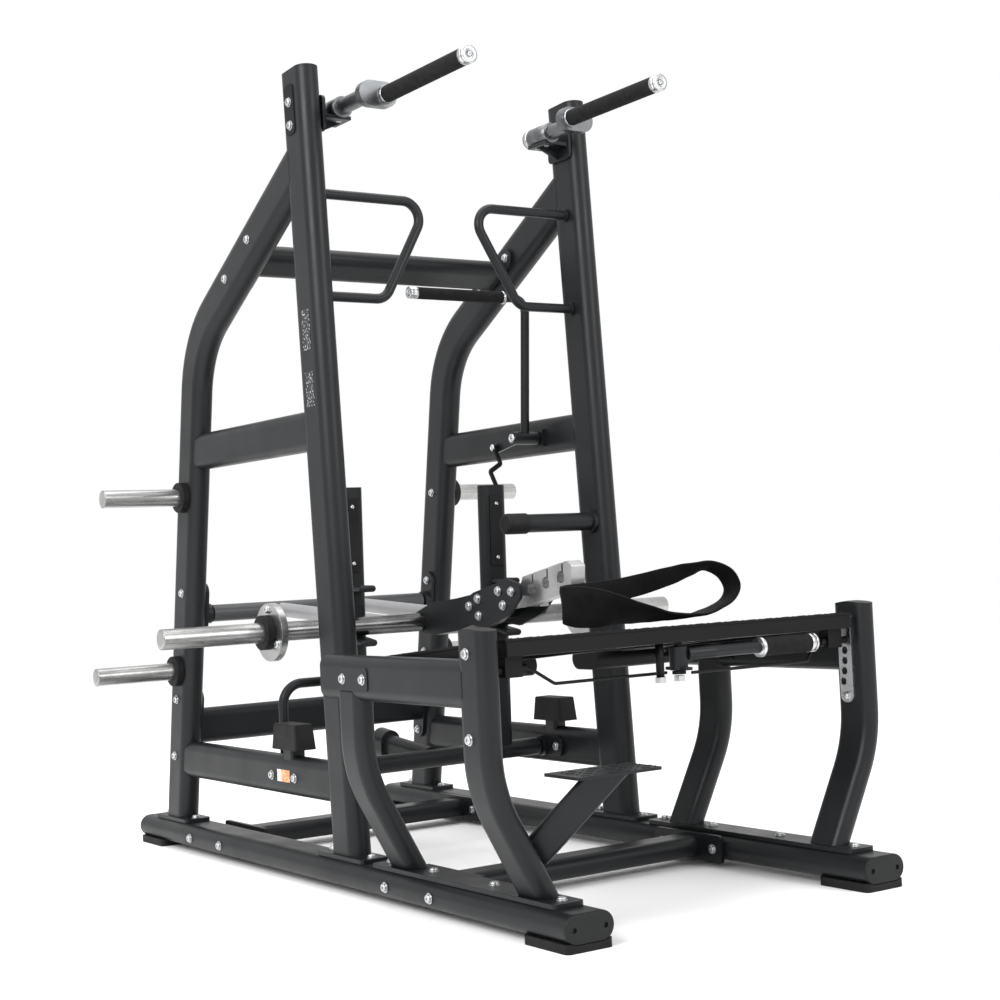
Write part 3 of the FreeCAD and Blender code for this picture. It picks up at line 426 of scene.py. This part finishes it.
# centre line as shares of the belt's box, then the half width in metres and the width's direction
ROUTE = [(0.035, 0.462, 0.437, 0.042, 0, 0.15, 1), (0.062, 0.173, 0.397, 0.047, 0, 0.1, 1),
         (0.135, 0.045, 0.365, 0.045, 0, 0, 1), (0.239, 0.045, 0.311, 0.038, 0, -0.35, 1),
         (0.356, 0.16, 0.237, 0.034, 0, -1, 1), (0.514, 0.33, 0.150, 0.036, 0, -1, 0.35),
         (0.700, 0.40, 0.105, 0.034, 0, -1, 0.12), (0.839, 0.423, 0.170, 0.031, 0, -1, 0),
         (0.952, 0.423, 0.331, 0.030, 0, -1, 0.1), (0.990, 0.423, 0.563, 0.030, 0, -1, 0.25),
         (0.955, 0.462, 0.810, 0.029, 0, -1, 0.3), (0.869, 0.519, 0.945, 0.027, 0, -1, 0.35),
         (0.791, 0.615, 0.900, 0.026, 0, -1, 0.8), (0.691, 0.712, 0.820, 0.026, 0, -0.6, 1),
         (0.549, 0.788, 0.710, 0.026, 0, -0.2, 1), (0.388, 0.827, 0.615, 0.027, 0, 0, 1),
         (0.242, 0.827, 0.544, 0.032, 0, 0.1, 1), (0.106, 0.692, 0.488, 0.038, 0, 0.2, 1)]


def spline(rows, t):
    """Closed Catmull-Rom through the rows."""
    n = len(rows)
    i = int(math.floor(t)) % n
    f = t - math.floor(t)
    p = [rows[(i + k) % n] for k in (-1, 0, 1, 2)]
    out = []
    for a, b, c, d in zip(*p):
        out.append(0.5 * (2 * b + (c - a) * f + (2 * a - 5 * b + 4 * c - d) * f * f
                          + (3 * b - a - 3 * c + d) * f ** 3))
    return out


STEPS = 340                  # sections along the belt
AROUND = 28                  # points around one section
NARROW = 0.027               # half width below which the belt is at its thinnest
THIN = 0.0042                # half thickness there
SWELL = 0.11                 # extra half thickness for each metre of extra half width
RIPPLE = 0.0022
verts = []
faces = []
for k in range(STEPS):
    t = len(ROUTE) * k / STEPS
    here = spline(ROUTE, t)
    ahead = spline(ROUTE, t + 0.02)
    p = Vector([lo[i] + size[i] * here[i] for i in range(3)])
    q = Vector([lo[i] + size[i] * ahead[i] for i in range(3)])
    tangent = (q - p).normalized()
    wide = Vector(here[4:7])
    wide = (wide - tangent * wide.dot(tangent)).normalized()
    out = wide.cross(tangent)
    w = here[3]
    h = THIN + SWELL * max(0.0, w - NARROW)
    for j in range(AROUND):
        a = 2 * math.pi * j / AROUND
        cx = math.copysign(abs(math.cos(a)) ** 0.35, math.cos(a))
        cz = math.copysign(abs(math.sin(a)) ** 0.75, math.sin(a))
        puff = 1.0 - 0.35 * max(0.0, 1 - abs(abs(cx) - 0.82) / 0.07)
        point = p + wide * (w * cx) + out * (h * cz * puff)
        ripple = noise.noise(Vector((point.x * 22, point.y * 30, point.z * 22)))
        verts.append(point + out * (RIPPLE * ripple))
for k in range(STEPS):
    for j in range(AROUND):
        a = k * AROUND + j
        b = k * AROUND + (j + 1) % AROUND
        c = ((k + 1) % STEPS) * AROUND + (j + 1) % AROUND
        d = ((k + 1) % STEPS) * AROUND + j
        faces.append((a, d, c, b))
belt = mesh("belt_soft", verts, faces, BELT, "belt", True)
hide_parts("belt")


# ---- printed labels ------------------------------------------------------------------------------
def label(name, material, centre, u, v, w, h, body):
    n = u.cross(v).normalized() * 0.0002
    c = Vector(centre)
    rows = [c + u * (sx * w / 2) + v * (sy * h / 2) + n * sn
            for sn in (-1, 1) for sx, sy in ((-1, -1), (1, -1), (1, 1), (-1, 1))]
    quads = [(0, 3, 2, 1), (4, 5, 6, 7), (0, 1, 5, 4), (1, 2, 6, 5), (2, 3, 7, 6), (3, 0, 4, 7)]
    return mesh(name, rows, quads, material, body)


def print_material(name, base, ink, scale, width):
    """Small scattered marks that cannot be read."""
    m = Mat(name, 0.5)
    marks = m.new("ShaderNodeTexNoise")
    marks.inputs["Scale"].default_value = scale
    marks.inputs["Detail"].default_value = 0.0
    m.link(m.coord, marks.inputs["Vector"])
    m.mix(m.ramp(marks.outputs["Fac"], width, width + 0.02, 0, 1), base, ink)
    m.bump(m.noise(700.0, 2), 0.05, 0.0002)
    return m.m


PANEL = print_material("panel_print", (0.012, 0.013, 0.014), (0.30, 0.30, 0.30), 210.0, 0.63)
ORANGE = print_material("warning_print", (0.75, 0.20, 0.03), (0.80, 0.55, 0.40), 240.0, 0.60)
WHITE = print_material("white_print", (0.75, 0.75, 0.73), (0.12, 0.11, 0.10), 150.0, 0.66)
upright_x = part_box("upper_crossbar")[0][0] - UPRIGHT_WIDTH
up = Vector((0, LEAN, 1)).normalized()
front = Vector((0, -1, LEAN)).normalized()
for z, h in ((1.345, 0.10), (1.20, 0.085)):
    y = -0.115 + LEAN * z
    label("panel_%d" % int(z * 100), PANEL, (upright_x - 0.0003, y, z), front, up, 0.040, h, "frame")
tag_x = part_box("lower_side_tube_left")[0][0] - 0.0003
for name, material, y, w in (("warning", ORANGE, 0.171, 0.044), ("warning_sign", WHITE, 0.205, 0.022)):
    label(name, material, (tag_x, y, 0.250), Vector((0, -1, 0)), Vector((0, 0, 1)), w, 0.030, "frame")

# ---- floor, light and camera --------------------------------------------------------------------
lo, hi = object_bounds()
floor_mat = Mat("studio_floor", 0.75)
floor_mat.mix(floor_mat.noise(1.2, 2), (0.985, 0.985, 0.985), (1.0, 1.0, 1.0))
data = bpy.data.meshes.new("floor")
FLOOR_HALF = 14
corners = [(x * FLOOR_HALF, y * FLOOR_HALF, lo[2]) for x, y in ((-1, -1), (1, -1), (1, 1), (-1, 1))]
data.from_pydata(corners, [], [(0, 1, 2, 3)])
data.materials.append(floor_mat.m)
floor = bpy.data.objects.new("floor", data)
scene.collection.objects.link(floor)

world = bpy.data.worlds.new("studio")
world.use_nodes = True
world.node_tree.nodes["Background"].inputs["Color"].default_value = (1, 1, 1, 1)
world.node_tree.nodes["Background"].inputs["Strength"].default_value = 1.0
scene.world = world


def area(name, at, target, width, height, power):
    light = bpy.data.lights.new(name, "AREA")
    light.shape = "RECTANGLE"
    light.size = width
    light.size_y = height
    light.energy = power
    obj = bpy.data.objects.new(name, light)
    obj.location = at
    obj.rotation_euler = (Vector(target) - Vector(at)).to_track_quat("-Z", "Y").to_euler()
    scene.collection.objects.link(obj)


area("key", (-4.2, -1.6, 3.4), (0, 0, 0.8), 2.6, 3.0, 210)
area("front", (1.5, -5.0, 3.0), (0, 0, 0.8), 2.5, 2.0, 90)
area("top", (0, 0, 4.6), (0, 0, 0), 4.0, 4.0, 120)

eye = Vector((-2.426, -3.767, 0.759))
right = Vector((0.82627, -0.56122, -0.04807))
up = Vector((0.01949, -0.05681, 0.99818))
back = right.cross(up)
cam_data = bpy.data.cameras.new("camera")
cam_data.sensor_width = 36.0
cam_data.lens = 62.471
camera = bpy.data.objects.new("camera", cam_data)
turn = Matrix((right, up, back)).transposed().to_4x4()
camera.matrix_world = Matrix.Translation(eye) @ turn
scene.collection.objects.link(camera)
scene.camera = camera
scene.view_settings.view_transform = "Standard"
